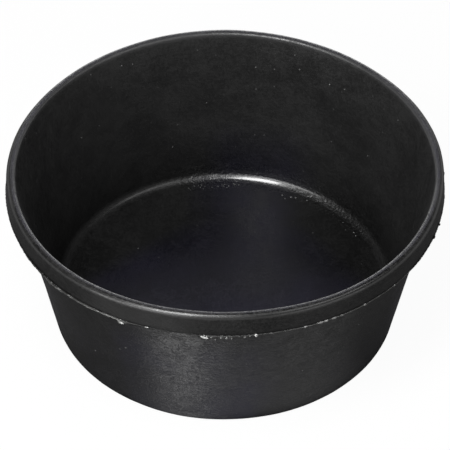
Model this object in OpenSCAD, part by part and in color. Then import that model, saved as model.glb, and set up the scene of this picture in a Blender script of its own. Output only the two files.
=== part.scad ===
// Round feed tub moulded in one piece from black rubber.
// Millimetres, +Z up, origin at the centre of the base face.

/* [Tub] */
// Height from the base face to the top of the rim
tub_height = 105; // [80:0.5:140]
// Diameter at which the wall's outer face meets the base plane
base_d = 203.6; // [160:0.2:215]
// Lean of the wall from upright, in degrees
wall_draft = 11; // [6:0.5:14]
// Wall thickness, square to the wall
wall_t = 3; // [2.5:0.1:6]
// Floor thickness
floor_t = 7.5; // [3:0.5:12]
// Radius of the curve between the floor and the wall, inside
floor_fillet_r = 6; // [2:0.5:20]
// Radius of the outer corner under the base
base_corner_r = 3; // [1:0.5:8]

/* [Rim band] */
// How far the band stands out from the wall at the shoulder
shoulder_w = 6.9; // [4:0.1:9]
// Height of the thick band round the rim
band_h = 12.9; // [8:0.1:25]
// How much the band's radius shrinks from the parting line to the top
band_draft_in = 0.8; // [0.2:0.1:2]
// Radius of the rim's outer top edge
rim_outer_r = 2.8; // [0.5:0.1:3.5]
// Radius of the rim's inner top edge
rim_inner_r = 1.5; // [0.4:0.1:2.5]
// How far the inside of the wall flares out on its way up to the rim
lip_flare = 1.7; // [0:0.1:2.5]
// Height over which the flare rises
lip_h = 28; // [15:0.5:40]
// Radius in the corner between the wall and the shoulder
shoulder_fillet_r = 1.5; // [0.5:0.1:3]

/* [Mould flash] */
// Thickness of the fin that the mould's parting line leaves
flash_t = 0.6; // [0.3:0.1:1.2]
// Least reach of the trimmed fin, out from the band
flash_least = 0.2; // [0.1:0.05:0.6]
// Extra reach where the fin was trimmed less closely
flash_wave = 0.5; // [0:0.05:1]
// Extra reach of the stretch that was left untrimmed
flash_wide = 1.2; // [0:0.1:2]
// Extra reach of the torn nibs
flash_nib = 1; // [0:0.1:2]

/* [Hidden] */

rubber = [0.045, 0.045, 0.048];
flash_rubber = [0.09, 0.09, 0.095];

// Radii at the main heights, and the parting line where the band is widest
base_r = base_d / 2;
parting_z = tub_height - band_h;
band_r = wall_x(parting_z, 0) + shoulder_w;
band_top_r = band_r - band_draft_in;
band_draft = atan(band_draft_in / (band_h - flash_t));
lip_lean = atan(tan(wall_draft) + 2 * lip_flare / lip_h);

// The rim's two rounds, held to the width of the rim's top
rim_top_w = band_top_r - inner_x(tub_height);
rim_round_fit = min(1, rim_top_w / (rim_outer_r + rim_inner_r));
outer_round = rim_round_fit * rim_outer_r;
inner_round = rim_round_fit * rim_inner_r;

// Facets of a full turn, steps in a quarter round and in the flare, and steps along the fin's torn edge
turn_fn = 180;
round_steps = 8;
flare_steps = 10;
flash_steps = 360;
flash_angles = [for (i = [0 : flash_steps - 1]) 360 * i / flash_steps];

// Corner radius of the fin's inner edge, whose short flats then lie on the band's land
flash_seat_r = band_r / cos(180 / flash_steps);

// Where the fin was left untrimmed: middle of the stretch and half its width, in degrees
untrimmed = [227, 17];

// Where the fin tore into nibs: angle round the rim and half width, in degrees
nibs = [
    [221, 1.6], [225, 1.2], [242, 1.3], [249, 1.2], [265, 1.6], [278, 1.2], [292, 1.2],
    [296, 1.4], [300, 1.3], [310, 1.2], [321, 1.2], [340, 1.3], [12, 1.6], [41, 1.4],
    [66, 1.7], [97, 1.3], [121, 1.6], [148, 1.4], [171, 1.6], [203, 1.4]
];

// Radius at height z of a line beside the wall's outer face, off millimetres outside it
function wall_x(z, off) = base_r + (z * sin(wall_draft) + off) / cos(wall_draft);

// Radius of the wall's inner face at height z, with the flare below the rim
function flare_share(z) = max(0, 1 - (tub_height - z) / lip_h);
function inner_x(z) = wall_x(z, -wall_t) + lip_flare * pow(flare_share(z), 2);

// Points on a round of radius r about a centre, from angle a to angle b
function round_points(centre, r, a, b) = [
    for (i = [0 : round_steps])
        let (t = a + (b - a) * i / round_steps)
        centre + r * [cos(t), sin(t)]
];

// Centres of the rounds, each tangent to the two faces that it joins
base_corner_c = [wall_x(base_corner_r, -base_corner_r), base_corner_r];
shoulder_fillet_c = [
    wall_x(parting_z - shoulder_fillet_r, shoulder_fillet_r),
    parting_z - shoulder_fillet_r
];
rim_outer_c = [
    band_top_r - outer_round * (1 - sin(band_draft)) / cos(band_draft),
    tub_height - outer_round
];
rim_inner_c = [
    inner_x(tub_height) + inner_round * (1 - sin(lip_lean)) / cos(lip_lean),
    tub_height - inner_round
];
floor_fillet_c = [
    wall_x(floor_t + floor_fillet_r, -wall_t - floor_fillet_r),
    floor_t + floor_fillet_r
];

// Points down the flare, from just under the rim to the straight wall
flare_points = [
    for (i = [1 : flare_steps])
        let (z = tub_height - lip_h * i / flare_steps)
        [inner_x(z), z]
];

// Half section of the tub, from the middle of the base round to the middle of the floor
tub_section = concat(
    [[0, 0]],
    round_points(base_corner_c, base_corner_r, -90, -wall_draft),
    round_points(shoulder_fillet_c, shoulder_fillet_r, 180 - wall_draft, 90),
    [[band_r, parting_z], [band_r, parting_z + flash_t]],
    round_points(rim_outer_c, outer_round, band_draft, 90),
    round_points(rim_inner_c, inner_round, 90, 180 - lip_lean),
    flare_points,
    round_points(floor_fillet_c, floor_fillet_r, -wall_draft, -90),
    [[0, floor_t]]
);

// How far the fin reaches out at angle a: slow waves of the trimming, the untrimmed stretch and the nibs
function turn_between(a, b) = abs((a - b + 540) % 360 - 180);
function trim_wave(a) = pow(sin(5 * a + 40) * sin(8 * a + 110), 2);
function untrimmed_share(a) = max(0, 1 - pow(turn_between(a, untrimmed[0]) / untrimmed[1], 4));
function nib_peak(a) = max([for (n = nibs) max(0, 1 - turn_between(a, n[0]) / n[1])]);
function flash_reach(a) =
    flash_least + flash_wave * trim_wave(a) + flash_wide * untrimmed_share(a) + flash_nib * nib_peak(a);

// The whole tub: floor, wall and rim band in one moulding
module tub_shell() {
    color(rubber)
        rotate_extrude($fn = turn_fn)
            polygon(tub_section);
}

// The torn fin, seated on the narrow upright land at the foot of the band
module mould_flash() {
    color(flash_rubber)
        translate([0, 0, parting_z])
            linear_extrude(flash_t)
                difference() {
                    polygon([for (a = flash_angles) (band_r + flash_reach(a)) * [cos(a), sin(a)]]);
                    polygon([for (a = flash_angles) flash_seat_r * [cos(a), sin(a)]]);
                }
}

tub_shell();
mould_flash();
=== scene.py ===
"""The looks of a round rubber feed tub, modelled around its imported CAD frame. Metres, +Z up."""

import math
import random

import bmesh
import bpy
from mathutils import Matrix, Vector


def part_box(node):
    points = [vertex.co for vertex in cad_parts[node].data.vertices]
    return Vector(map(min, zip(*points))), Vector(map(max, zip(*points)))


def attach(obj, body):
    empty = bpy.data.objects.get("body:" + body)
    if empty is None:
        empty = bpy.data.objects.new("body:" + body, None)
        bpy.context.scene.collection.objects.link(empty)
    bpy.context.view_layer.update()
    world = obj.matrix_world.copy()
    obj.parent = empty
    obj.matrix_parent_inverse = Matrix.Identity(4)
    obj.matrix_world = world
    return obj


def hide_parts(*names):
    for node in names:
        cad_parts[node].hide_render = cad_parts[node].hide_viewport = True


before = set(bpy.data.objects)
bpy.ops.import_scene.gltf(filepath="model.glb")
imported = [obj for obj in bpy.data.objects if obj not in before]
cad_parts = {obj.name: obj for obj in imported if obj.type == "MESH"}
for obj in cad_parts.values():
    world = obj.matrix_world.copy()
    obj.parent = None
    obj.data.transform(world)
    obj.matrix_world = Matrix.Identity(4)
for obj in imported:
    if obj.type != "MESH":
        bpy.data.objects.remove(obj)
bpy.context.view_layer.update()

# Sizes of the tub, in metres, from the frame where it gives them
MM = 0.001
shell_low, shell_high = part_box("tub_shell")
fin_low, fin_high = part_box("mould_flash")
RIM_Z = shell_high[2]
BAND_R = (shell_high[0] - shell_low[0]) / 2
PARTING_Z = fin_low[2]
LAND_H = fin_high[2] - fin_low[2]
WALL_DRAFT = math.radians(11)
SHOULDER_W = 6.9 * MM
BASE_R = BAND_R - SHOULDER_W - PARTING_Z * math.tan(WALL_DRAFT)
WALL_T = 3 * MM
LIP_FLARE = 1.7 * MM
LIP_H = 28 * MM
LIP_LEAN = math.atan(math.tan(WALL_DRAFT) + 2 * LIP_FLARE / LIP_H)
FLOOR_T = 7.5 * MM
BAND_DRAFT_IN = 0.8 * MM
BASE_CORNER_R = 3 * MM
FLOOR_FILLET_R = 6 * MM
SHOULDER_FILLET_R = 1.5 * MM
RIM_OUTER_R = 2.8 * MM
RIM_INNER_R = 1.5 * MM
RIM_CROWN = 0.2 * MM
RIM_CROWN_DEPTH = 2.5 * MM

# How finely the meshes are cut, and the steps in each round
TURN_SEGMENTS = 360
WALL_CUTS = 38
FLARE_CUTS = 10
BAND_CUTS = 5
RIM_CUTS = 5
BASE_CORNER_STEPS = 6
SHOULDER_STEPS = 4
RIM_OUTER_STEPS = 8
RIM_INNER_STEPS = 7
FLOOR_FILLET_STEPS = 12
DISC_STEP = 3.5 * MM
FIN_SEGMENTS = 1440
FRAY_STEP = 5
MERGE_DISTANCE = 0.001 * MM

# How far the long edges of the wall and of the band climb, and the least width of the rim's flat top
WALL_CLIMB = (40 * MM, 120 * MM)
BAND_CLIMB = (8 * MM, 12 * MM)
RIM_FLAT = 0.5 * MM

# Width and depth of the two swells in the moulded surface
SLOW_SWELL = (45 * MM, 0.5 * MM)
SMALL_SWELL = (9 * MM, 0.10 * MM)

# How far the soft rim has gone out of round: cosine and sine shares of each wave round the rim, in mm
RIM_RADIAL_WAVES = {0: (0.15, 0), 1: (-0.40, 0.20), 2: (-0.75, -0.55), 3: (0.13, -0.08), 4: (-0.16, 0.11)}
RIM_HEIGHT_WAVES = {0: (0.30, 0.0), 1: (-0.33, -0.33), 2: (1.05, -0.07), 3: (0.16, 0.10), 4: (0.37, 0.05)}

# Where the tub's finish changes: each pair is where a change starts and where it ends, angles in degrees
INSIDE_SLACK = 1 * MM
INNER_EDGE_BELOW = (1.6 * MM, 0.6 * MM)
INNER_EDGE_OUT = (0.9 * MM, 1.7 * MM)
# The band's lowest edge is painted black as the shade under the band: how far in from the band and above its
# land that painted shade reaches
FOOT_IN = 0.2 * MM
FOOT_ABOVE = 0.1 * MM
LOW_INSIDE = (FLOOR_T + 4 * MM, FLOOR_T + 34 * MM)
LOW_OUTSIDE = (25 * MM, 75 * MM)
FILLET_FADE = (0, 2 * MM)
FILLET_STARTS = (-8, 12)
FILLET_ENDS = (68, 88)
SHINE_STARTS = (43, 69)
SHINE_ENDS = (84, 104)
PEBBLES_START = (14, 30)
PEBBLES_END = (100, 112)
PEBBLES_FADE = (1 * MM, 5 * MM)

# The bluish haze on the floor widens from its back towards the front, and drifts to the left on its way
HAZE_BACK = 60 * MM
HAZE_MIDDLE = 12 * MM
HAZE_DRIFT = 0.25
HAZE_HALF_WIDTH = 27 * MM
HAZE_SOFT_EDGE = 10 * MM
HAZE_FLOOR_TOP = FLOOR_T + 2 * MM
FAR_HAZE_MIDDLE = 22 * MM
FAR_HAZE_FADE = (FLOOR_T + 12 * MM, FLOOR_T + 42 * MM)

# The haze on the outer wall: its two ends at the front, how high it reaches, and its share low down
FRONT_HAZE_STARTS = (-126, -116)
FRONT_HAZE_ENDS = (-82, -70)
FRONT_HAZE_TOP = (62 * MM, 86 * MM)
LOW_HAZE = 0.2

# The torn fin's reach in mm along the parting line, by angle in degrees; -90 faces the camera
FIN_REACH = [
    (-180, 0.2), (-158, 0.3), (-148, 0.9), (-138, 1.3), (-128, 1.3), (-121, 1.2), (-115, 0.8), (-109, 0.3),
    (-98, 0.2), (-95, 0.7), (-85, 0.6), (-80, 0.5), (-55, 0.6), (-35, 0.4), (0, 0.2), (60, 0.4), (110, 0.4),
    (150, 0.4), (180, 0.2),
]
# How far the fin hangs down at its edge, in mm
FIN_HANG = [
    (-180, 0), (-138.5, 0), (-137, 0.7), (-135.5, 0), (-118, 0), (-117, 1.4), (-115.6, 1.4), (-114.5, 0),
    (-97, 0), (-96, 1.6), (-89, 1.3), (-84, 0.6), (-82, 0), (180, 0),
]
# Torn nibs on the fin: angle, half width in degrees, reach in mm
FIN_NIBS = [
    (-139.2, 1.5, 1.9), (-135.4, 0.9, 1.7), (-126.5, 0.8, 1.6), (-116.8, 0.9, 1.9), (-109.7, 0.9, 1.2),
    (-92.6, 0.5, 1.1), (-90.5, 0.5, 1.2), (-88.2, 0.5, 1.0), (-86.0, 0.4, 1.1), (-81.8, 0.6, 1.3),
    (-77.5, 0.4, 1.0), (-69.3, 0.6, 1.2), (-64.9, 0.8, 1.1), (-63.6, 0.8, 1.2), (-61.2, 0.7, 1.1),
    (-58.8, 0.5, 1.0), (-51.8, 0.6, 1.1), (-41.2, 0.6, 1.0), (-20, 0.7, 1.0), (5, 0.9, 1.1),
    (24, 0.6, 1.0), (48, 0.8, 1.3), (71, 0.6, 1.0), (93, 0.9, 1.2), (118, 0.6, 1.0), (140, 0.8, 1.3),
    (160, 0.7, 0.8),
]
# How pale the fin's torn edge is painted along the parting line, by angle in degrees; the paleness is partly
# a painted highlight of the edge
FIN_PALENESS = [
    (-180, 0.2), (-160, 0.2), (-148, 0.15), (-136, 0.3), (-126, 0.7), (-118, 0.9), (-114, 0.4), (-110, 0),
    (-97, 0), (-95, 0.4), (-84, 0.4), (-74, 0.6), (-56, 0.7), (-50, 0.6), (-36, 0.5), (-20, 0.2), (60, 0.3),
    (180, 0.2),
]

# The fin's section: its level as a share of the land's height, its thickness, and its rings' reach in mm
FIN_LEVEL = 0.6
FIN_THICK = 0.5 * MM
FIN_RINGS = (-0.3, 0.2, 0.7)
# The fin's edge in mm: its least reach, how ragged it is and how unevenly it droops, and its sag to its reach
FIN_LEAST = 0.15
FIN_RAGGED = 0.14
FIN_DROOP = 0.12
FIN_SAG = 0.12
FIN_WAVE = 0.16
# Waves of the trimming in a turn of the rim, and where the quick one starts in degrees
QUICK_WAVES = 23
SLOW_WAVES = 7
QUICK_START = 40
FIN_SEED = 41
# The least share of paleness where the edge is frayed, and how far out the paleness starts and is complete.
# The stretch up to the angle in degrees was left untrimmed, and is pale further in; this paleness too is
# partly a painted highlight
FRAY_LEAST = 0.35
UNTRIMMED_END = -115
UNTRIMMED_PALE = (0.1, 0.6)
TRIMMED_PALE = (0.4, 0.9)

# Lumps of squeezed-out rubber on the fin: angle, length, width and height above the land's middle in mm,
# how white it is painted to stand in for its glint, and how far the right end hangs lower than the left, in
# degrees
FIN_LUMPS = [
    (-139.2, 1.6, 0.8, 0.5, 0.15, 0), (-136.3, 2.4, 0.9, 0.2, 0.25, 0), (-132.8, 1.8, 0.8, 0.4, 0.25, 0),
    (-123.4, 2.0, 0.9, 0.4, 0.25, 0), (-120.8, 2.0, 0.9, 0.3, 0.3, 0), (-116.4, 2.8, 1.2, -1.1, 0.6, 12),
    (-109.7, 2.8, 1.0, 0.1, 0.5, 0), (-94.9, 4.6, 1.1, -0.8, 0.85, 16), (-93.2, 1.4, 1.0, -0.7, 0.15, 0),
    (-92.2, 1.2, 1.0, -1.6, 0.1, 0), (-90.8, 1.2, 1.2, -0.8, 0.15, 0), (-89.4, 1.2, 1.6, -0.7, 0.2, 0),
    (-88.1, 1.0, 1.2, -1.0, 0.12, 0), (-84.8, 1.6, 0.9, -0.7, 0.15, -20), (-83.5, 1.2, 0.9, -0.3, 0.15, 0),
    (-82.0, 1.8, 1.7, 0.0, 0.85, 0), (-78.1, 1.4, 0.7, 0.1, 0.12, 0), (-69.2, 1.7, 1.2, 0.2, 0.4, 0),
    (-65.0, 4.0, 0.9, 0.2, 0.35, 0), (-63.5, 2.4, 1.1, 0.3, 0.42, 0), (-61.2, 3.4, 0.9, 0.3, 0.28, 0),
    (-58.9, 2.0, 0.9, 0.3, 0.18, 0), (-51.8, 1.6, 1.0, 0.3, 0.3, 0), (-41.2, 1.3, 0.8, 0.3, 0.2, 0),
    (-15, 2.0, 1.0, 0.2, 0.1, 0), (30, 1.6, 1.0, 0.2, 0.2, 0), (83, 2.4, 1.1, 0.1, 0.3, 0),
    (131, 1.5, 0.9, 0.2, 0.2, 0),
]
LUMP_SEED = 7
LUMP_DEPTH = 0.3 * MM
LUMP_TILT = 38
LUMP_TILT_PLAY = 5
LUMP_ROUNDNESS = 3
# How far out a lump sits in mm: at least, for each mm of its width and of its hang, and as a share of the fin
LUMP_OUT = 0.25
LUMP_OUT_BY_WIDTH = 0.3
LUMP_OUT_BY_HANG = 0.6
LUMP_ON_FIN = 0.7
# How far round the rim a lump's painted glint goes, as a share of its length
LUMP_GLINT_REACH = 0.55

# Where small beads of rubber dot the fin: from one angle to another, how many, and how low they hang in mm
BEAD_STRETCHES = [
    (-95, -84, 22, 1.2), (-84, -55, 20, 0), (-146, -115, 18, 0), (-55, -35, 10, 0), (20, 160, 36, 0),
]
# The beads' least and most: half width and distance from the band in mm, level, and length to width
BEAD_SIZE = (0.2, 0.4)
BEAD_OUT = (0.1, 0.5)
BEAD_LEVEL = (0.2, 0.9)
BEAD_LENGTH = (1, 2)
BEAD_TILT = math.radians(45)
BEAD_ROUNDNESS = 2
# How white the beads are painted, standing in for their glints
BEAD_GLINT = 0.05
FIRST_BEAD_R = 0.2 * MM

# Pimples on the wall's outer and inner face: angle, height up the wall and width, in mm
OUTER_PIMPLES = [
    (-119.5, 55.8, 1.3), (-132.8, 35.0, 1.0), (-121.8, 52.0, 0.8), (-104, 18, 0.8), (-66, 40, 0.9),
    (-48, 62, 0.8),
]
INNER_PIMPLES = [
    (57.0, 85.8, 1.1), (51.8, 87.0, 1.0), (67.2, 88.8, 0.9), (80.8, 84.8, 1.0), (75.0, 85.2, 0.8),
    (122, 97, 1.1), (118.5, 95.5, 0.8), (29.5, 92, 0.9), (96, 60, 0.8), (141, 66, 0.9), (38, 55, 0.9),
    (108, 33, 0.7),
]
# Pimples on the floor by the far curve: from one angle to another, and how many
FLOOR_PIMPLES = [(84, 106, 22), (30, 84, 10)]
# Their least and most width, how far in from the wall they start, and how far they scatter, in mm
FLOOR_PIMPLE_WIDTH = (0.7, 1.2)
FLOOR_PIMPLE_IN = 5.5
FLOOR_PIMPLE_SCATTER = 2.5
# Pimples on the rim's outer edge: angle and length, in mm
RIM_PIMPLES = [(-114, 1.0), (-106.2, 1.4), (-104.6, 1.0), (17, 2.2), (64, 1.2), (158, 1.5)]
RIM_PIMPLE_HALF_WIDTH = 0.4 * MM
# How deep the pimples are on the wall and elsewhere, how each kind is tilted, and how white they are painted
# to stand in for their glints
WALL_PIMPLE_DEPTH = 0.3 * MM
LOW_PIMPLE_DEPTH = 0.25 * MM
OUTER_PIMPLE_TILT = math.radians(80)
INNER_PIMPLE_TILT = math.radians(60)
FLOOR_PIMPLE_TILT = math.radians(25)
RIM_PIMPLE_TILT = math.radians(45)
PIMPLE_GLINT = 0.12
PIMPLE_SEED = 19

# Colours of the rubber: darkest and palest of the skin, the inside and the haze, and of what lies on them
RUBBER_DARK = (0.001, 0.001, 0.001)
RUBBER_PALE = (0.0165, 0.0163, 0.0161)
INNER_DARK = (0.0105, 0.0105, 0.0105)
INNER_PALE = (0.018, 0.018, 0.0178)
BLOOM_DARK = (0.004, 0.0036, 0.0095)
BLOOM_PALE = (0.0155, 0.0147, 0.0275)
FLOOR_BLOOM_DARK = (0.0005, 0.0004, 0.004)
FLOOR_BLOOM_PALE = (0.006, 0.0055, 0.0125)
# Black of painted shade, under the band and low inside the tub
SHADE_BLACK = (0.001, 0.001, 0.001)
DUST_GREY = (0.085, 0.085, 0.085)
# Rubbed inner edge of the rim, paler partly as wear and partly as its painted highlight line
RUBBED_EDGE_AND_HIGHLIGHT = (0.045, 0.045, 0.046)
# Pale torn edge of the fin, partly a painted highlight
TORN_EDGE_AND_HIGHLIGHT = (0.22, 0.22, 0.215)
# White of the painted glints on lumps, beads and pimples
GLINT_WHITE = (0.62, 0.62, 0.61)
LUMP_PALE = (0.03, 0.03, 0.03)
PIMPLE_PALE = (0.02, 0.02, 0.021)

# Gloss of the rubber: a pair gives the values at the low end and the high end of a pattern or a weight
RUBBER_IOR = 1.52
RUBBER_ROUGHNESS = (0.3, 0.5)
COAT_IOR = 2.2
COAT_ROUGHNESS = 0.2
SKIN_GLOSS = (0.26, 0.0)
INNER_GLOSS = 0.42
LOW_GLOSS = 0.36
FILLET_GLOSS = (0.08, 0.58)
RIM_GLOSS = 0.11
RIM_ROUGHNESS = 0.33
FIN_ROUGHNESS = (0.4, 0.6)
LUMP_ROUGHNESS = 0.14
PIMPLE_ROUGHNESS = 0.16
LUMP_UNEVEN = 0.12

# Depth of the rubber's grain, and shares of it inside, on the rim and on the pebbled curve at the floor
RUBBER_GRAIN = 0.18 * MM
FIN_GRAIN = 0.08 * MM
INNER_RELIEF = 0.35
RIM_RELIEF = 0.3
FILLET_GRAIN = 3.5

# Scales of the rubber's patterns, in waves to the metre, and how much flatter than wide two of them are
BLOOM_SCALE = 17
CLOUD_SCALE = 34
PATCH_SCALE = 110
STREAK_SCALE = 210
GRIT_SCALE = 620
GRAIN_SCALE = 1000
PEBBLE_SCALE = 520
PATCH_FLATNESS = 1.4
STREAK_FLATNESS = 3.4

# How the patterns are mixed for the skin's mottle, relief and gloss, and the range of such a mix
MOTTLE_MIX = {"Cloud": 0.2, "Patch": 0.2, "Streak": 0.25, "Grit": 0.35}
RELIEF_MIX = {"Streak": 0.45, "Grit": 0.25, "Grain": 0.2}
GLOSS_MIX = {"Patch": 0.3, "Streak": 0.35, "Grit": 0.35}
MIX_RANGE = (0.3, 0.7)
# Shares of cloud, patch and mottle in the inside's colour, and of mottle and cloud in the haze's
INNER_MIX = (0.5, 0.3, 0.2)
HAZE_MIX = (0.5, 0.5)

# Least cover of the haze and of the rubbed edge with its painted highlight, how far the low inside is
# darkened as painted shade, and the dust's dots
HAZE_LEAST = 0.5
WEAR_AND_HIGHLIGHT_LEAST = 0.55
FLOOR_SHADE = 0.68
DUST_SCALE = 170
DUST_DOT = (0.05, 0.10)
DUST_SHARE = 0.28

# The camera: the photograph's view, fitted to the tub's outline
CAMERA_DISTANCE = 1.711
CAMERA_ABOVE_RIM = math.radians(41.71)
CAMERA_PITCH = math.radians(42.817)
CAMERA_ROLL = math.radians(0.298)
IMAGE_SIZE = 450
FOCAL_PIXELS = 2960.3
CENTRE_PIXEL_X = 224.66
SENSOR_WIDTH = 36

# The room's light: walls and ceiling, and the upward share of a direction at which one turns into the other
WHITE = (1, 1, 1)
ROOM_WALLS = 0.6
ROOM_CEILING = 0.03
ROOM_EDGE = (0.28, 0.52)

# The floor: a dim satin to bounced light, and the share of it that the camera sees as plain white
FLOOR_SIZE = 8
FLOOR_GREY = (0.06, 0.06, 0.06)
FLOOR_ROUGHNESS = 0.2
FLOOR_IOR = 2.0
FLOOR_WHITE = 0.95
# The floor's painted pool of light, seen only in reflections, which the wall mirrors: its middle, where it
# fades, its shares of white there, and the painted shadow that keeps it dark next to the base
PATCH_MIDDLE = (0.015, -0.108, 0)
PATCH_FADE = (0.015, 0.09)
PATCH_WHITE = (0.31, 0.03)
SHADOW_GAP = (BASE_R + 1 * MM, BASE_R + 5 * MM)

# Lamps: name, azimuth and elevation in degrees, distance, size, brightness and tint
SOFTBOXES = [
    ("key_softbox", -121, 61, 1.2, (0.36, 0.66), 14.5, WHITE),
    ("front_softbox", -94, 42, 1.6, (0.8, 0.5), 1.2, WHITE),
    ("left_softbox", -132, 29, 1.6, (1.2, 0.65), 2.8, WHITE),
    ("right_softbox", -45, 16, 1.6, (1.1, 0.5), 0.8, WHITE),
    ("side_softbox", -28, 54, 1.2, (0.8, 0.3), 2.5, WHITE),
    ("back_softbox", 90, 40, 1.6, (1.2, 0.6), 0.6, (0.9, 0.88, 1.1)),
    ("low_back_softbox", 90, 13, 1.6, (1.2, 0.6), 2.7, WHITE),
]


def wall_radius(z):
    """Radius of the wall's outer face at a height."""
    return BASE_R + z * math.tan(WALL_DRAFT)


def inner_radius(z, inside=0.0):
    """Radius at height z of a line beside the wall's inner face, a set distance inside it."""
    flare = LIP_FLARE * max(0, 1 - (RIM_Z - z) / LIP_H) ** 2
    return wall_radius(z) - (WALL_T + inside) / math.cos(WALL_DRAFT) + flare


def round_the_tub(radius, angle, z):
    """The point at a radius, an angle in radians and a height."""
    return (radius * math.cos(angle), radius * math.sin(angle), z)


def turn_between(first, second):
    """The angle between two directions, in degrees."""
    return abs((first - second + 180) % 360 - 180)


def ramp(value, low, high):
    """Rises from 0 to 1 between two values."""
    return min(1.0, max(0.0, (value - low) / (high - low)))


def window(value, starts, ends):
    """Rises from 0 to 1 over one pair of values, and falls back over another."""
    return ramp(value, *starts) * (1 - ramp(value, *ends))


# Modelling helpers


def clear_selection():
    if bpy.context.object and bpy.context.object.mode != "OBJECT":
        bpy.ops.object.mode_set(mode="OBJECT")
    bpy.ops.object.select_all(action="DESELECT")


def start_ring(name, radius, z, segments):
    """Adds a bare ring and leaves it selected in edit mode."""
    clear_selection()
    bpy.ops.mesh.primitive_circle_add(vertices=segments, radius=radius, location=(0, 0, z))
    piece = bpy.context.object
    piece.name = name
    bpy.ops.object.transform_apply(location=True, rotation=True, scale=True)
    bpy.ops.object.mode_set(mode="EDIT")
    bpy.ops.mesh.select_mode(type="EDGE")
    bpy.ops.mesh.select_all(action="SELECT")
    return piece


def extrude_ring(here, there):
    """Extrudes the selected ring from one (radius, height) to another."""
    bpy.ops.mesh.extrude_region_move(TRANSFORM_OT_translate={"value": (0, 0, there[1] - here[1])})
    grow = there[0] / here[0]
    bpy.ops.transform.resize(value=(grow, grow, 1), center_override=(0, 0, 0))


def extrude_along(stations):
    for here, there in zip(stations, stations[1:]):
        extrude_ring(here, there)


def pick_edges(piece, wanted):
    """Selects the edges that pass a test."""
    bpy.ops.mesh.select_all(action="DESELECT")
    mesh = bmesh.from_edit_mesh(piece.data)
    for edge in mesh.edges:
        if wanted(edge):
            edge.select_set(True)
    bmesh.update_edit_mesh(piece.data)


def on_ring(radius, z, slack=0.05 * MM):
    """A test for the edges that lie along one ring."""

    def near(vertex):
        return abs(vertex.co.xy.length - radius) < slack and abs(vertex.co.z - z) < slack

    return lambda edge: all(near(v) for v in edge.verts)


def upright(least, most):
    """A test for the edges that climb by a height between two limits."""
    return lambda edge: least < abs(edge.verts[0].co.z - edge.verts[1].co.z) < most


def across_level(z, least, slack=0.01 * MM):
    """A test for the edges that run across a level face at a height."""

    def test(edge):
        first, second = edge.verts
        level = abs(first.co.z - z) < slack and abs(second.co.z - z) < slack
        return level and abs(first.co.xy.length - second.co.xy.length) > least

    return test


def round_corner(piece, corner, radius, turn, segments):
    """Rounds the ring of edges at a corner of the section, where its outline turns by an angle."""
    pick_edges(piece, on_ring(*corner))
    reach = radius * math.tan(turn / 2)
    bpy.ops.mesh.bevel(offset=reach, offset_type="OFFSET", segments=segments, profile=0.5, affect="EDGES")


def disc_stations(radius, z, margin):
    """Rings from an edge in towards the middle of a flat disc, with a margin left for the edge's rounding."""
    start = radius - margin
    count = int(start / DISC_STEP)
    return [(radius, z)] + [(start * (1 - i / (count + 0.5)), z) for i in range(count + 1)]


def close_middle():
    """Draws the selected ring together into one point."""
    bpy.ops.mesh.extrude_region_move()
    bpy.ops.mesh.merge(type="CENTER")


def finish_mesh():
    """Closes the mesh, turns its faces outwards and smooths it."""
    bpy.ops.mesh.select_all(action="SELECT")
    bpy.ops.mesh.remove_doubles(threshold=MERGE_DISTANCE)
    bpy.ops.mesh.normals_make_consistent(inside=False)
    bpy.ops.object.mode_set(mode="OBJECT")
    bpy.ops.object.shade_smooth()


def apply_change(piece, change):
    bpy.context.view_layer.objects.active = piece
    bpy.ops.object.modifier_apply(modifier=change.name)


def swell(piece, name, width, depth):
    """Moves the surface in and out by a soft cloud pattern, as moulded rubber is never quite even."""
    cloud = bpy.data.textures.new(name, type="CLOUDS")
    cloud.noise_scale = width
    cloud.noise_depth = 1
    change = piece.modifiers.new(name, type="DISPLACE")
    change.texture = cloud
    change.texture_coords = "LOCAL"
    change.direction = "NORMAL"
    change.strength = depth
    change.mid_level = 0.5
    apply_change(piece, change)


def wave_sum(waves, angle):
    return MM * sum(c * math.cos(n * angle) + s * math.sin(n * angle) for n, (c, s) in waves.items())


def go_out_of_round(piece):
    """Warps a piece with the soft rim: most at the top, none at the base. The waves start at the front."""
    for vertex in piece.data.vertices:
        x, y, z = vertex.co
        radius = math.hypot(x, y)
        if radius < MM or z <= 0:
            continue
        angle = math.atan2(y, x) + math.pi / 2
        share = (z / RIM_Z) ** 2
        grow = 1 + share * wave_sum(RIM_RADIAL_WAVES, angle) / BAND_R
        vertex.co.x = x * grow
        vertex.co.y = y * grow
        vertex.co.z = z + share * wave_sum(RIM_HEIGHT_WAVES, angle)


def mark(piece, name, weights):
    """Stores a weight for each vertex, which the materials read."""
    layer = piece.data.attributes.new(name, "FLOAT", "POINT")
    layer.data.foreach_set("value", weights)


# The tub


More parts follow.
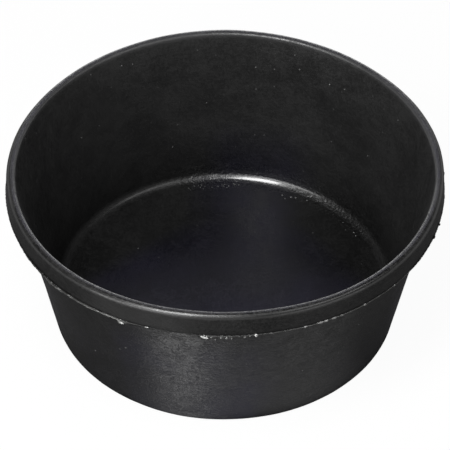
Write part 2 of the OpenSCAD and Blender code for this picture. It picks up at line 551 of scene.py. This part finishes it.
def model_tub():
    """Floor, wall and rim band in one skin, extruded ring by ring and rounded at its corners."""
    right_angle = math.radians(90)
    wall_turn = right_angle - WALL_DRAFT
    base_corner = (wall_radius(0), 0)
    shoulder_corner = (wall_radius(PARTING_Z), PARTING_Z)
    band_foot = (BAND_R, PARTING_Z)
    land_top = (BAND_R, PARTING_Z + LAND_H)
    rim_outer = (BAND_R - BAND_DRAFT_IN, RIM_Z)
    rim_inner = (inner_radius(RIM_Z), RIM_Z)
    flare_heights = [RIM_Z - LIP_H * i / FLARE_CUTS for i in range(1, FLARE_CUTS + 1)]
    flare = [(inner_radius(z), z) for z in flare_heights]
    floor_corner = (inner_radius(FLOOR_T), FLOOR_T)
    band_draft = math.atan(BAND_DRAFT_IN / (RIM_Z - PARTING_Z - LAND_H))

    tub = start_ring("tub_moulding", *base_corner, TURN_SEGMENTS)
    outside = [base_corner, shoulder_corner, band_foot, land_top, rim_outer]
    extrude_along([*outside, rim_inner, *flare, floor_corner])
    extrude_along(disc_stations(*floor_corner, FLOOR_FILLET_R))
    close_middle()
    pick_edges(tub, on_ring(*base_corner))
    extrude_along(disc_stations(*base_corner, BASE_CORNER_R))
    close_middle()

    round_corner(tub, base_corner, BASE_CORNER_R, wall_turn, BASE_CORNER_STEPS)
    round_corner(tub, shoulder_corner, SHOULDER_FILLET_R, wall_turn, SHOULDER_STEPS)
    round_corner(tub, rim_outer, RIM_OUTER_R, right_angle - band_draft, RIM_OUTER_STEPS)
    round_corner(tub, rim_inner, RIM_INNER_R, right_angle - LIP_LEAN, RIM_INNER_STEPS)
    round_corner(tub, floor_corner, FLOOR_FILLET_R, wall_turn, FLOOR_FILLET_STEPS)
    pick_edges(tub, upright(*WALL_CLIMB))
    bpy.ops.mesh.subdivide(number_cuts=WALL_CUTS)
    pick_edges(tub, upright(*BAND_CLIMB))
    bpy.ops.mesh.subdivide(number_cuts=BAND_CUTS)
    pick_edges(tub, across_level(RIM_Z, RIM_FLAT))
    bpy.ops.mesh.subdivide(number_cuts=RIM_CUTS)
    finish_mesh()

    mark_tub(tub, rim_inner[0], rim_outer[0])
    crown_rim(tub, rim_inner[0], rim_outer[0])
    swell(tub, "slow_swell", *SLOW_SWELL)
    swell(tub, "small_swell", *SMALL_SWELL)
    go_out_of_round(tub)
    return tub


def mark_tub(tub, inner, outer):
    """Stores the weights that tell the rubber's finish where on the tub it is."""
    rows = [tub_weights(vertex.co, inner, outer) for vertex in tub.data.vertices]
    for name in rows[0]:
        mark(tub, name, [row[name] for row in rows])


def tub_weights(place, inner, outer):
    """Weights at one place of the tub, by the names that its finish reads."""
    radius, z = place.xy.length, place.z
    angle = math.degrees(math.atan2(place.y, place.x))
    within = 1.0 if radius < inner_radius(z) + INSIDE_SLACK and z > FLOOR_T / 2 else 0.0
    at_foot = radius > BAND_R - FOOT_IN and z < PARTING_Z + LAND_H + FOOT_ABOVE
    near_top = ramp(z, *(RIM_Z - below for below in INNER_EDGE_BELOW))
    past_edge = ramp(radius, *(inner + out for out in INNER_EDGE_OUT))
    over_round = ramp(z, RIM_Z - RIM_OUTER_R, RIM_Z - 0.5 * RIM_OUTER_R)
    along_round = ramp(radius, outer - RIM_OUTER_R, outer - 0.5 * RIM_OUTER_R)
    off_fillet, round_arc = beside_fillet(radius, z)
    far_side = window(angle, PEBBLES_START, PEBBLES_END)
    on_fillet = 1 - ramp(off_fillet, *FILLET_FADE)
    return {
        "foot": 1.0 if at_foot else 0.0,
        "inner_edge": near_top * (1 - past_edge),
        "outer_edge": over_round * along_round,
        "low": 1 - ramp(z, *(LOW_INSIDE if within else LOW_OUTSIDE)),
        "haze": inner_haze(place) if within else outer_haze(angle, z),
        "shiny": window(angle, SHINE_STARTS, SHINE_ENDS),
        "pebbled": within * far_side * (1 - ramp(off_fillet, *PEBBLES_FADE)),
        "floor_fillet": within * on_fillet * window(round_arc, FILLET_STARTS, FILLET_ENDS),
        "inside": within,
    }


def beside_fillet(radius, z):
    """Distance from the curve at the floor, and the angle along it in degrees from the wall to the floor."""
    centre_z = FLOOR_T + FLOOR_FILLET_R
    centre_r = inner_radius(centre_z, FLOOR_FILLET_R)
    past_ends = max(0, centre_r - radius, z - centre_z)
    off_arc = abs(math.hypot(radius - centre_r, z - centre_z) - FLOOR_FILLET_R)
    round_arc = math.degrees(math.atan2(centre_z - z, max(0.0, radius - centre_r)))
    return max(past_ends, off_arc), round_arc


def inner_haze(place):
    """Bluish haze on the floor, wider towards the front, and low on the far wall."""
    front = max(0.0, HAZE_BACK - place.y)
    on_floor = place.z < HAZE_FLOOR_TOP
    middle = HAZE_MIDDLE - HAZE_DRIFT * front if on_floor else FAR_HAZE_MIDDLE
    half = HAZE_HALF_WIDTH + front
    across = 1 - ramp(abs(place.x - middle), half - HAZE_SOFT_EDGE, half + HAZE_SOFT_EDGE)
    return across * (1 - ramp(place.z, *FAR_HAZE_FADE))


def outer_haze(angle, z):
    """Bluish haze at the left front of the wall, and a little of it low down all round."""
    front = window(angle, FRONT_HAZE_STARTS, FRONT_HAZE_ENDS) * (1 - ramp(z, *FRONT_HAZE_TOP))
    return max(front, LOW_HAZE * (1 - ramp(z, *LOW_OUTSIDE)))


def crown_rim(tub, inner, outer):
    """Raises the rim's top face into a low bead."""
    for vertex in tub.data.vertices:
        across = (vertex.co.xy.length - inner) / (outer - inner)
        if vertex.co.z > RIM_Z - RIM_CROWN_DEPTH and 0 < across < 1:
            vertex.co.z += RIM_CROWN * math.sin(math.pi * across)


# The torn fin at the parting line


def along_fin(table, angle):
    """Reads a table of (angle in degrees, value) between its rows."""
    for (low, first), (high, last) in zip(table, table[1:]):
        if low <= angle <= high:
            return first + (last - first) * (angle - low) / (high - low)
    return table[0][1]


def nib_reach(angle):
    """How far the torn nibs reach at an angle in degrees, in mm."""
    most = 0
    for middle, half_width, reach in FIN_NIBS:
        off = turn_between(angle, middle) / half_width
        if off < 1:
            most = max(most, reach * (1 - off ** 2) ** 0.5)
    return most


def trim_wave(angle):
    """How the trimming wanders along the fin, as a share of its reach."""
    quick = math.sin(math.radians(angle * QUICK_WAVES + QUICK_START))
    slow = math.sin(math.radians(angle * SLOW_WAVES))
    return FIN_WAVE * quick * slow


def model_fin():
    """A thin ragged ring, drawn out to its torn edge, hung down and then thickened."""
    chance = random.Random(FIN_SEED)
    height = PARTING_Z + LAND_H * FIN_LEVEL
    root, half, tip = [(BAND_R + out * MM, height) for out in FIN_RINGS]
    fin = start_ring("parting_fin", *root, FIN_SEGMENTS)
    extrude_along([root, half, tip])
    bpy.ops.object.mode_set(mode="OBJECT")
    ragged = [chance.uniform(-FIN_RAGGED, FIN_RAGGED) for _ in range(FIN_SEGMENTS)]
    droop = [chance.uniform(-FIN_DROOP, FIN_DROOP) for _ in range(FIN_SEGMENTS)]
    fray = [chance.random() ** 2 for _ in range(FIN_SEGMENTS // FRAY_STEP)]
    torn = []
    for vertex in fin.data.vertices:
        x, y, z = vertex.co
        radius = math.hypot(x, y)
        outward = (radius - root[0]) / (tip[0] - root[0])
        ring = round(2 * outward)
        angle = math.degrees(math.atan2(y, x))
        place = int(round(angle / 360 * FIN_SEGMENTS)) % FIN_SEGMENTS
        frayed = FRAY_LEAST + (1 - FRAY_LEAST) * fray[place // FRAY_STEP]
        pale = ramp(outward, *(UNTRIMMED_PALE if angle < UNTRIMMED_END else TRIMMED_PALE))
        # Paleness of the torn edge, partly a painted highlight
        torn.append(along_fin(FIN_PALENESS, angle) * frayed * pale)
        trimmed = along_fin(FIN_REACH, angle) * (1 + trim_wave(angle)) + ragged[place]
        reach = max(FIN_LEAST, trimmed, nib_reach(angle))
        if ring:
            new_radius = BAND_R + MM * reach * ring / 2
            vertex.co.x = x * new_radius / radius
            vertex.co.y = y * new_radius / radius
            hang = FIN_SAG * reach + along_fin(FIN_HANG, angle)
            vertex.co.z = z + outward * (droop[place] - hang) * MM
    mark(fin, "torn", torn)
    thick = fin.modifiers.new("thick", type="SOLIDIFY")
    thick.thickness = FIN_THICK
    thick.offset = 0
    apply_change(fin, thick)
    bpy.ops.object.mode_set(mode="EDIT")
    finish_mesh()
    go_out_of_round(fin)
    return fin


# Lumps on the fin, and pimples on the moulding


def add_lump(place, facing, size, roundness=LUMP_ROUNDNESS, slant=0):
    """Adds a flattened ball in edit mode: its flat side faces a way given as (azimuth, tilt) in radians."""
    azimuth, tilt = facing
    turn = (tilt, slant, azimuth + math.pi / 2)
    bpy.ops.mesh.primitive_ico_sphere_add(
        subdivisions=roundness, radius=1, location=place, rotation=turn, scale=size,
    )


def add_pimple(place, facing, width, depth):
    """Adds a round pimple of a width in mm."""
    add_lump(place, facing, (width / 2 * MM, width / 2 * MM, depth))


def start_lumps(name):
    """Adds a first small bead on the band's land and goes into edit mode."""
    clear_selection()
    first = (0, BAND_R, PARTING_Z + LAND_H / 2)
    bpy.ops.mesh.primitive_ico_sphere_add(subdivisions=1, radius=FIRST_BEAD_R, location=first)
    piece = bpy.context.object
    piece.name = name
    bpy.ops.object.transform_apply(location=True, rotation=True, scale=True)
    bpy.ops.object.mode_set(mode="EDIT")
    return piece


def model_fin_lumps():
    """Shiny lumps where rubber was squeezed out at the parting line; most face up and forward."""
    chance = random.Random(LUMP_SEED)
    lumps = start_lumps("fin_lumps")
    for degrees, length, width, above, _, slant in FIN_LUMPS:
        angle = math.radians(degrees)
        on_fin = LUMP_ON_FIN * along_fin(FIN_REACH, degrees)
        reach = max(LUMP_OUT + LUMP_OUT_BY_WIDTH * width, on_fin) + LUMP_OUT_BY_HANG * max(0, -above)
        place = round_the_tub(BAND_R + reach * MM, angle, PARTING_Z + LAND_H / 2 + above * MM)
        tilt = math.radians(LUMP_TILT + chance.uniform(-LUMP_TILT_PLAY, LUMP_TILT_PLAY))
        size = (length / 2 * MM, width / 2 * MM, LUMP_DEPTH)
        add_lump(place, (angle, tilt), size, slant=math.radians(slant))
    for first, last, count, hang in BEAD_STRETCHES:
        for _ in range(count):
            angle = math.radians(chance.uniform(first, last))
            size = chance.uniform(*BEAD_SIZE) * MM
            radius = BAND_R + chance.uniform(*BEAD_OUT) * MM
            z = PARTING_Z + LAND_H * chance.uniform(*BEAD_LEVEL) - hang * chance.random() * MM
            length = size * chance.uniform(*BEAD_LENGTH)
            place = round_the_tub(radius, angle, z)
            add_lump(place, (angle, BEAD_TILT), (length, size, size), BEAD_ROUNDNESS)
    finish_mesh()
    mark_glints(lumps)
    go_out_of_round(lumps)
    return lumps


def mark_glints(lumps):
    """Weights of the painted white glints on the lumps and beads."""
    reach = LUMP_GLINT_REACH * math.degrees(MM / BAND_R)
    glint_whiteness = []
    for vertex in lumps.data.vertices:
        degrees = math.degrees(math.atan2(vertex.co.y, vertex.co.x))
        share = BEAD_GLINT
        for middle, length, _, _, white, _ in FIN_LUMPS:
            if turn_between(degrees, middle) < reach * length:
                share = max(share, white)
        glint_whiteness.append(share)
    mark(lumps, "glint_whiteness", glint_whiteness)


def model_pimples():
    """Small pimples on the wall's two faces, on the floor by the far curve and on the rim's outer edge."""
    chance = random.Random(PIMPLE_SEED)
    pimples = start_lumps("surface_pimples")
    for degrees, z, width in OUTER_PIMPLES:
        angle = math.radians(degrees)
        place = round_the_tub(wall_radius(z * MM), angle, z * MM)
        add_pimple(place, (angle, OUTER_PIMPLE_TILT), width, WALL_PIMPLE_DEPTH)
    for degrees, z, width in INNER_PIMPLES:
        angle = math.radians(degrees)
        place = round_the_tub(inner_radius(z * MM), angle, z * MM)
        add_pimple(place, (angle + math.pi, INNER_PIMPLE_TILT), width, WALL_PIMPLE_DEPTH)
    for first, last, count in FLOOR_PIMPLES:
        for _ in range(count):
            angle = math.radians(chance.uniform(first, last))
            inward = FLOOR_PIMPLE_IN + abs(chance.gauss(0, FLOOR_PIMPLE_SCATTER))
            width = chance.uniform(*FLOOR_PIMPLE_WIDTH)
            place = round_the_tub(inner_radius(FLOOR_T) - inward * MM, angle, FLOOR_T)
            add_pimple(place, (-math.pi / 2, FLOOR_PIMPLE_TILT), width, LOW_PIMPLE_DEPTH)
    round_fall = RIM_OUTER_R * (1 - math.sqrt(0.5))
    for degrees, length in RIM_PIMPLES:
        angle = math.radians(degrees)
        place = round_the_tub(BAND_R - BAND_DRAFT_IN - round_fall, angle, RIM_Z - round_fall)
        size = (length / 2 * MM, RIM_PIMPLE_HALF_WIDTH, LOW_PIMPLE_DEPTH)
        add_lump(place, (angle, RIM_PIMPLE_TILT), size)
    finish_mesh()
    mark(pimples, "glint_whiteness", [PIMPLE_GLINT] * len(pimples.data.vertices))
    go_out_of_round(pimples)
    return pimples


# Node helpers


def new_group(name, inputs, outputs):
    """An empty node group with named inputs, each with its default value, and outputs."""
    group = bpy.data.node_groups.new(name, "ShaderNodeTree")
    for label, kind, value in inputs:
        socket = group.interface.new_socket(label, in_out="INPUT", socket_type=kind)
        if value is not None:
            socket.default_value = value
    for label, kind in outputs:
        group.interface.new_socket(label, in_out="OUTPUT", socket_type=kind)
    return group


def add_node(tree, kind, **settings):
    node = tree.nodes.new(kind)
    for name, value in settings.items():
        setattr(node, name, value)
    return node


def noise_node(tree, vector, scale, detail=3.0, roughness=0.55, distortion=0.0):
    noise = add_node(tree, "ShaderNodeTexNoise")
    noise.inputs["Scale"].default_value = scale
    noise.inputs["Detail"].default_value = detail
    noise.inputs["Roughness"].default_value = roughness
    noise.inputs["Distortion"].default_value = distortion
    tree.links.new(vector, noise.inputs["Vector"])
    return noise.outputs["Fac"]


def spread(tree, value, low, high, to_low=0.0, to_high=1.0):
    """Maps a value from one range to another, held at its ends."""
    node = add_node(tree, "ShaderNodeMapRange", clamp=True)
    node.inputs["From Min"].default_value = low
    node.inputs["From Max"].default_value = high
    node.inputs["To Min"].default_value = to_low
    node.inputs["To Max"].default_value = to_high
    tree.links.new(value, node.inputs["Value"])
    return node.outputs["Result"]


def math_node(tree, operation, first, second):
    node = add_node(tree, "ShaderNodeMath", operation=operation)
    for socket, value in zip(node.inputs, (first, second)):
        if isinstance(value, (int, float)):
            socket.default_value = value
        else:
            tree.links.new(value, socket)
    return node.outputs["Value"]


def times(tree, first, second):
    return math_node(tree, "MULTIPLY", first, second)


def weighted(tree, *terms):
    """The sum of values, each times its weight."""
    total = 0.0
    for value, weight in terms:
        node = add_node(tree, "ShaderNodeMath", operation="MULTIPLY_ADD")
        tree.links.new(value, node.inputs[0])
        node.inputs[1].default_value = weight
        if total:
            tree.links.new(total, node.inputs[2])
        else:
            node.inputs[2].default_value = 0
        total = node.outputs["Value"]
    return total


def pattern_mix(tree, marks, shares):
    """The sum of the rubber's patterns, each times its share."""
    return weighted(tree, *((marks.outputs[name], share) for name, share in shares.items()))


def scaled(tree, vector, factors):
    node = add_node(tree, "ShaderNodeVectorMath", operation="MULTIPLY")
    node.inputs[1].default_value = factors
    tree.links.new(vector, node.inputs[0])
    return node.outputs["Vector"]


def mix_colours(tree, share, first, second):
    """Mixes two colours, each a plain one or another node's."""
    node = add_node(tree, "ShaderNodeMix", data_type="RGBA")
    tree.links.new(share, node.inputs[0])
    for socket, value in ((node.inputs[6], first), (node.inputs[7], second)):
        if isinstance(value, tuple):
            socket.default_value = (*value, 1)
        else:
            tree.links.new(value, socket)
    return node.outputs[2]


def weight_of(tree, name):
    """Reads a weight that is stored on the mesh."""
    return add_node(tree, "ShaderNodeAttribute", attribute_name=name).outputs["Fac"]


def by_weight(tree, name, without, full):
    """A value that goes from one to another as a stored weight goes from 0 to 1."""
    return spread(tree, weight_of(tree, name), 0, 1, without, full)


def add_relief(tree, shader, height, depth):
    relief = add_node(tree, "ShaderNodeBump")
    relief.inputs["Strength"].default_value = 1
    relief.inputs["Distance"].default_value = depth
    tree.links.new(height, relief.inputs["Height"])
    tree.links.new(relief.outputs["Normal"], shader.inputs["Normal"])


# Finishes of the rubber


def rubber_mottle_group():
    """Cloudy patches, drawn-out streaks and fine grain of moulded rubber."""
    group = new_group(
        "rubber_mottle",
        [("Vector", "NodeSocketVector", None)],
        [(label, "NodeSocketFloat") for label in ("Bloom", "Cloud", "Patch", "Streak", "Grit", "Grain")],
    )
    source = add_node(group, "NodeGroupInput").outputs["Vector"]
    sink = add_node(group, "NodeGroupOutput")
    flat = scaled(group, source, (1, 1, PATCH_FLATNESS))
    flatter = scaled(group, source, (1, 1, STREAK_FLATNESS))
    patterns = [
        ("Bloom", noise_node(group, source, BLOOM_SCALE, detail=2), (0.40, 0.62)),
        ("Cloud", noise_node(group, source, CLOUD_SCALE, detail=3), (0.3, 0.7)),
        ("Patch", noise_node(group, flat, PATCH_SCALE, detail=4, roughness=0.6), (0.3, 0.7)),
        ("Streak", noise_node(group, flatter, STREAK_SCALE, 4, 0.65, distortion=0.8), (0.28, 0.72)),
        ("Grit", noise_node(group, source, GRIT_SCALE, detail=3, roughness=0.75), (0.38, 0.62)),
    ]
    for label, noise, (low, high) in patterns:
        group.links.new(spread(group, noise, low, high), sink.inputs[label])
    group.links.new(noise_node(group, source, GRAIN_SCALE, detail=2), sink.inputs["Grain"])
    return group


def dust_specks_group():
    """Small scattered dots of dust, of uneven strength."""
    group = new_group(
        "dust_specks",
        [("Vector", "NodeSocketVector", None), ("Share", "NodeSocketFloat", DUST_SHARE)],
        [("Mask", "NodeSocketFloat")],
    )
    source = add_node(group, "NodeGroupInput")
    sink = add_node(group, "NodeGroupOutput")
    cells = add_node(group, "ShaderNodeTexVoronoi")
    cells.inputs["Scale"].default_value = DUST_SCALE
    group.links.new(source.outputs["Vector"], cells.inputs["Vector"])
    dot = spread(group, cells.outputs["Distance"], *DUST_DOT, 1, 0)
    pick = add_node(group, "ShaderNodeSeparateColor")
    group.links.new(cells.outputs["Color"], pick.inputs["Color"])
    kept = math_node(group, "LESS_THAN", pick.outputs["Red"], source.outputs["Share"])
    strength = times(group, kept, pick.outputs["Green"])
    group.links.new(times(group, dot, strength), sink.inputs["Mask"])
    return group


def start_material(name, mottle):
    """A new material, with its nodes, its shader, the place on the piece and the rubber's patterns there."""
    material = bpy.data.materials.new(name)
    material.use_nodes = True
    tree = material.node_tree
    place = add_node(tree, "ShaderNodeTexCoord").outputs["Object"]
    marks = add_node(tree, "ShaderNodeGroup", node_tree=mottle)
    tree.links.new(place, marks.inputs["Vector"])
    return material, tree, tree.nodes["Principled BSDF"], place, marks


def tub_rubber_material(mottle, specks):
    """Satin black rubber of the tub."""
    material, tree, shader, place, marks = start_material("tub_rubber", mottle)
    dust = add_node(tree, "ShaderNodeGroup", node_tree=specks)
    tree.links.new(place, dust.inputs["Vector"])
    dust.inputs["Share"].default_value = DUST_SHARE
    uneven = spread(tree, pattern_mix(tree, marks, MOTTLE_MIX), *MIX_RANGE)
    tree.links.new(tub_colour(tree, marks, uneven, dust.outputs["Mask"]), shader.inputs["Base Color"])
    dull = spread(tree, uneven, 0, 1, *RUBBER_ROUGHNESS)
    buffed = by_weight(tree, "outer_edge", 1, RIM_ROUGHNESS)
    tree.links.new(math_node(tree, "MINIMUM", dull, buffed), shader.inputs["Roughness"])
    add_relief(tree, shader, tub_relief(tree, marks, place), RUBBER_GRAIN)
    tree.links.new(tub_gloss(tree, marks), shader.inputs["Coat Weight"])
    shader.inputs["Coat Roughness"].default_value = COAT_ROUGHNESS
    shader.inputs["Coat IOR"].default_value = COAT_IOR
    shader.inputs["IOR"].default_value = RUBBER_IOR
    return material


def tub_colour(tree, marks, uneven, dust):
    """Mottled black, clouded inside and darkened low inside as painted shade, with bluish haze, dust, a
    rubbed inner edge that partly paints its highlight line, and the band's lowest edge painted black as
    shade.
    """
    cloud = marks.outputs["Cloud"]
    patch = marks.outputs["Patch"]
    outer = mix_colours(tree, uneven, RUBBER_DARK, RUBBER_PALE)
    clouded = weighted(tree, *zip((cloud, patch, uneven), INNER_MIX))
    inner = mix_colours(tree, clouded, INNER_DARK, INNER_PALE)
    colour = mix_colours(tree, weight_of(tree, "inside"), outer, inner)
    # Painted shade: the low inside is darkened towards black
    shaded_low_inside = times(tree, weight_of(tree, "inside"), weight_of(tree, "low"))
    colour = mix_colours(tree, times(tree, shaded_low_inside, FLOOR_SHADE), colour, SHADE_BLACK)

    calm = weighted(tree, *zip((uneven, cloud), HAZE_MIX))
    hazy_wall = mix_colours(tree, calm, BLOOM_DARK, BLOOM_PALE)
    hazy_floor = mix_colours(tree, calm, FLOOR_BLOOM_DARK, FLOOR_BLOOM_PALE)
    hazy = mix_colours(tree, weight_of(tree, "inside"), hazy_wall, hazy_floor)
    cover = spread(tree, marks.outputs["Bloom"], 0, 1, HAZE_LEAST, 1)
    colour = mix_colours(tree, times(tree, cover, weight_of(tree, "haze")), colour, hazy)

    colour = mix_colours(tree, dust, colour, DUST_GREY)
    # The rim's inner edge is painted paler: partly wear, partly a painted highlight line
    wear_and_highlight = spread(tree, patch, 0, 1, WEAR_AND_HIGHLIGHT_LEAST, 1)
    colour = mix_colours(tree, times(tree, weight_of(tree, "inner_edge"), wear_and_highlight), colour, RUBBED_EDGE_AND_HIGHLIGHT)
    # Painted shade: the band's lowest edge is painted black
    return mix_colours(tree, weight_of(tree, "foot"), colour, SHADE_BLACK)


def tub_relief(tree, marks, place):
    """Streaks, grit and grain, calmer inside and on the rim, and pebbles on the far curve at the floor."""
    fine = pattern_mix(tree, marks, RELIEF_MIX)
    calm_inside = by_weight(tree, "inside", 1, INNER_RELIEF)
    calm = times(tree, calm_inside, by_weight(tree, "outer_edge", 1, RIM_RELIEF))
    pebbles = times(tree, noise_node(tree, place, PEBBLE_SCALE, detail=2), weight_of(tree, "pebbled"))
    return math_node(tree, "ADD", times(tree, fine, calm), times(tree, pebbles, FILLET_GRAIN))


def tub_gloss(tree, marks):
    """A patchy gloss, less of it low down and inside, and a shine on the floor's curve and the rim."""
    skin = spread(tree, pattern_mix(tree, marks, GLOSS_MIX), *MIX_RANGE, *SKIN_GLOSS)
    skin = times(tree, skin, by_weight(tree, "low", 1, LOW_GLOSS))
    skin = times(tree, skin, by_weight(tree, "inside", 1, INNER_GLOSS))
    shine = times(tree, weight_of(tree, "floor_fillet"), by_weight(tree, "shiny", *FILLET_GLOSS))
    polished = weighted(tree, (shine, 1), (weight_of(tree, "outer_edge"), RIM_GLOSS))
    return math_node(tree, "MAXIMUM", skin, polished)


def fin_rubber_material(mottle):
    """Dull black rubber of the fin, pale along its torn edge, partly as a painted highlight of the edge."""
    material, tree, shader, _, marks = start_material("fin_rubber", mottle)
    # The torn edge's paleness is partly a painted highlight of the thin edge
    colour = mix_colours(tree, weight_of(tree, "torn"), RUBBER_DARK, TORN_EDGE_AND_HIGHLIGHT)
    tree.links.new(colour, shader.inputs["Base Color"])
    tree.links.new(spread(tree, marks.outputs["Patch"], 0, 1, *FIN_ROUGHNESS), shader.inputs["Roughness"])
    add_relief(tree, shader, marks.outputs["Grain"], FIN_GRAIN)
    return material


def lump_rubber_material(name, pale, roughness, mottle):
    """Smooth skin of small beads of rubber, painted white where they glint."""
    material, tree, shader, _, marks = start_material(name, mottle)
    worn = mix_colours(tree, marks.outputs["Patch"], RUBBER_DARK, pale)
    # Painted glint: the stored weight mixes in white
    colour = mix_colours(tree, weight_of(tree, "glint_whiteness"), worn, GLINT_WHITE)
    tree.links.new(colour, shader.inputs["Base Color"])
    dull = spread(tree, marks.outputs["Streak"], 0, 1, roughness, roughness + LUMP_UNEVEN)
    tree.links.new(dull, shader.inputs["Roughness"])
    return material


def dress(piece, material):
    piece.data.materials.clear()
    piece.data.materials.append(material)


# Stage, light and camera


def light_pool_share(tree):
    """How white the floor looks in a reflection: a painted pool of light, and a painted shadow next to the
    base.
    """
    place = add_node(tree, "ShaderNodeTexCoord").outputs["Object"]
    off = add_node(tree, "ShaderNodeVectorMath", operation="DISTANCE")
    off.inputs[1].default_value = PATCH_MIDDLE
    tree.links.new(place, off.inputs[0])
    from_axis = add_node(tree, "ShaderNodeVectorMath", operation="LENGTH")
    tree.links.new(place, from_axis.inputs[0])
    white_share = spread(tree, off.outputs["Value"], *PATCH_FADE, *PATCH_WHITE)
    return times(tree, white_share, spread(tree, from_axis.outputs["Value"], *SHADOW_GAP))


def pale_floor_material():
    """A dim satin to bounced light, shown to the camera as white with the tub's soft shadow."""
    material = bpy.data.materials.new("pale_floor")
    material.use_nodes = True
    tree = material.node_tree
    satin = tree.nodes["Principled BSDF"]
    satin.inputs["Base Color"].default_value = (*FLOOR_GREY, 1)
    satin.inputs["Roughness"].default_value = FLOOR_ROUGHNESS
    satin.inputs["IOR"].default_value = FLOOR_IOR
    white = add_node(tree, "ShaderNodeEmission")
    white.inputs["Strength"].default_value = 1
    shaded = add_node(tree, "ShaderNodeBsdfDiffuse")
    shaded.inputs["Color"].default_value = (*WHITE, 1)
    shown = add_node(tree, "ShaderNodeMixShader")
    shown.inputs["Fac"].default_value = FLOOR_WHITE
    tree.links.new(shaded.outputs["BSDF"], shown.inputs[1])
    tree.links.new(white.outputs["Emission"], shown.inputs[2])
    path = add_node(tree, "ShaderNodeLightPath")
    # Glossy rays see the floor's painted pool of light and its painted shadow
    mirrored = times(tree, path.outputs["Is Glossy Ray"], light_pool_share(tree))
    direct = math_node(tree, "MAXIMUM", path.outputs["Is Camera Ray"], path.outputs["Is Transmission Ray"])
    mix = add_node(tree, "ShaderNodeMixShader")
    tree.links.new(math_node(tree, "MAXIMUM", direct, mirrored), mix.inputs["Fac"])
    tree.links.new(satin.outputs["BSDF"], mix.inputs[1])
    tree.links.new(shown.outputs["Shader"], mix.inputs[2])
    tree.links.new(mix.outputs["Shader"], tree.nodes["Material Output"].inputs["Surface"])
    return material


def lay_floor():
    clear_selection()
    bpy.ops.mesh.primitive_plane_add(size=FLOOR_SIZE, location=(0, 0, 0))
    floor = bpy.context.object
    floor.name = "studio_floor"
    dress(floor, pale_floor_material())


def light_world():
    """Pale walls all round the tub and a dark ceiling; white wherever the camera sees it."""
    world = bpy.data.worlds.new("white_room")
    bpy.context.scene.world = world
    world.use_nodes = True
    tree = world.node_tree
    room = tree.nodes["Background"]
    room.inputs["Color"].default_value = (*WHITE, 1)
    towards = add_node(tree, "ShaderNodeTexCoord").outputs["Generated"]
    height = add_node(tree, "ShaderNodeSeparateXYZ")
    tree.links.new(towards, height.inputs["Vector"])
    brightness = spread(tree, height.outputs["Z"], *ROOM_EDGE, ROOM_WALLS, ROOM_CEILING)
    tree.links.new(brightness, room.inputs["Strength"])
    white = add_node(tree, "ShaderNodeBackground")
    white.inputs["Color"].default_value = (*WHITE, 1)
    white.inputs["Strength"].default_value = 1
    path = add_node(tree, "ShaderNodeLightPath")
    direct = math_node(tree, "MAXIMUM", path.outputs["Is Camera Ray"], path.outputs["Is Transmission Ray"])
    mix = add_node(tree, "ShaderNodeMixShader")
    tree.links.new(direct, mix.inputs["Fac"])
    tree.links.new(room.outputs["Background"], mix.inputs[1])
    tree.links.new(white.outputs["Background"], mix.inputs[2])
    tree.links.new(mix.outputs["Shader"], tree.nodes["World Output"].inputs["Surface"])


def hang_softbox(name, azimuth, elevation, distance, size, brightness, tint):
    """An area lamp aimed at the tub from an angle in degrees; a brightness of 1 is that of white paper."""
    lamp = bpy.data.lights.new(name, type="AREA")
    lamp.shape = "RECTANGLE"
    lamp.size, lamp.size_y = size
    lamp.energy = brightness * math.pi * size[0] * size[1]
    lamp.color = tint
    holder = bpy.data.objects.new(name, lamp)
    bpy.context.collection.objects.link(holder)
    az, el = math.radians(azimuth), math.radians(elevation)
    holder.location = round_the_tub(distance * math.cos(el), az, distance * math.sin(el) + RIM_Z / 2)
    holder.rotation_euler = (math.pi / 2 - el, 0, az + math.pi / 2)


def set_camera():
    """The photograph's view, from in front of the tub and above its rim."""
    data = bpy.data.cameras.new("product_camera")
    data.sensor_width = SENSOR_WIDTH
    data.lens = FOCAL_PIXELS * SENSOR_WIDTH / IMAGE_SIZE
    data.shift_x = (IMAGE_SIZE / 2 - CENTRE_PIXEL_X) / IMAGE_SIZE
    camera = bpy.data.objects.new("product_camera", data)
    bpy.context.collection.objects.link(camera)
    camera.location = (
        0,
        -CAMERA_DISTANCE * math.cos(CAMERA_ABOVE_RIM),
        RIM_Z + CAMERA_DISTANCE * math.sin(CAMERA_ABOVE_RIM),
    )
    camera.rotation_mode = "XYZ"
    camera.rotation_euler = (math.pi / 2 - CAMERA_PITCH, 0, 0)
    camera.rotation_euler.rotate_axis("Z", CAMERA_ROLL)
    bpy.context.scene.camera = camera


set_camera()
lay_floor()
light_world()
for softbox in SOFTBOXES:
    hang_softbox(*softbox)

mottle = rubber_mottle_group()
specks = dust_specks_group()

tub = model_tub()
dress(tub, tub_rubber_material(mottle, specks))
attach(tub, "root")
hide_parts("tub_shell")

fin = model_fin()
dress(fin, fin_rubber_material(mottle))
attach(fin, "root")
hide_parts("mould_flash")

lumps = model_fin_lumps()
dress(lumps, lump_rubber_material("lump_rubber", LUMP_PALE, LUMP_ROUGHNESS, mottle))
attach(lumps, "root")

pimples = model_pimples()
dress(pimples, lump_rubber_material("pimple_rubber", PIMPLE_PALE, PIMPLE_ROUGHNESS, mottle))
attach(pimples, "root")

bpy.context.scene.view_settings.view_transform = "Standard"
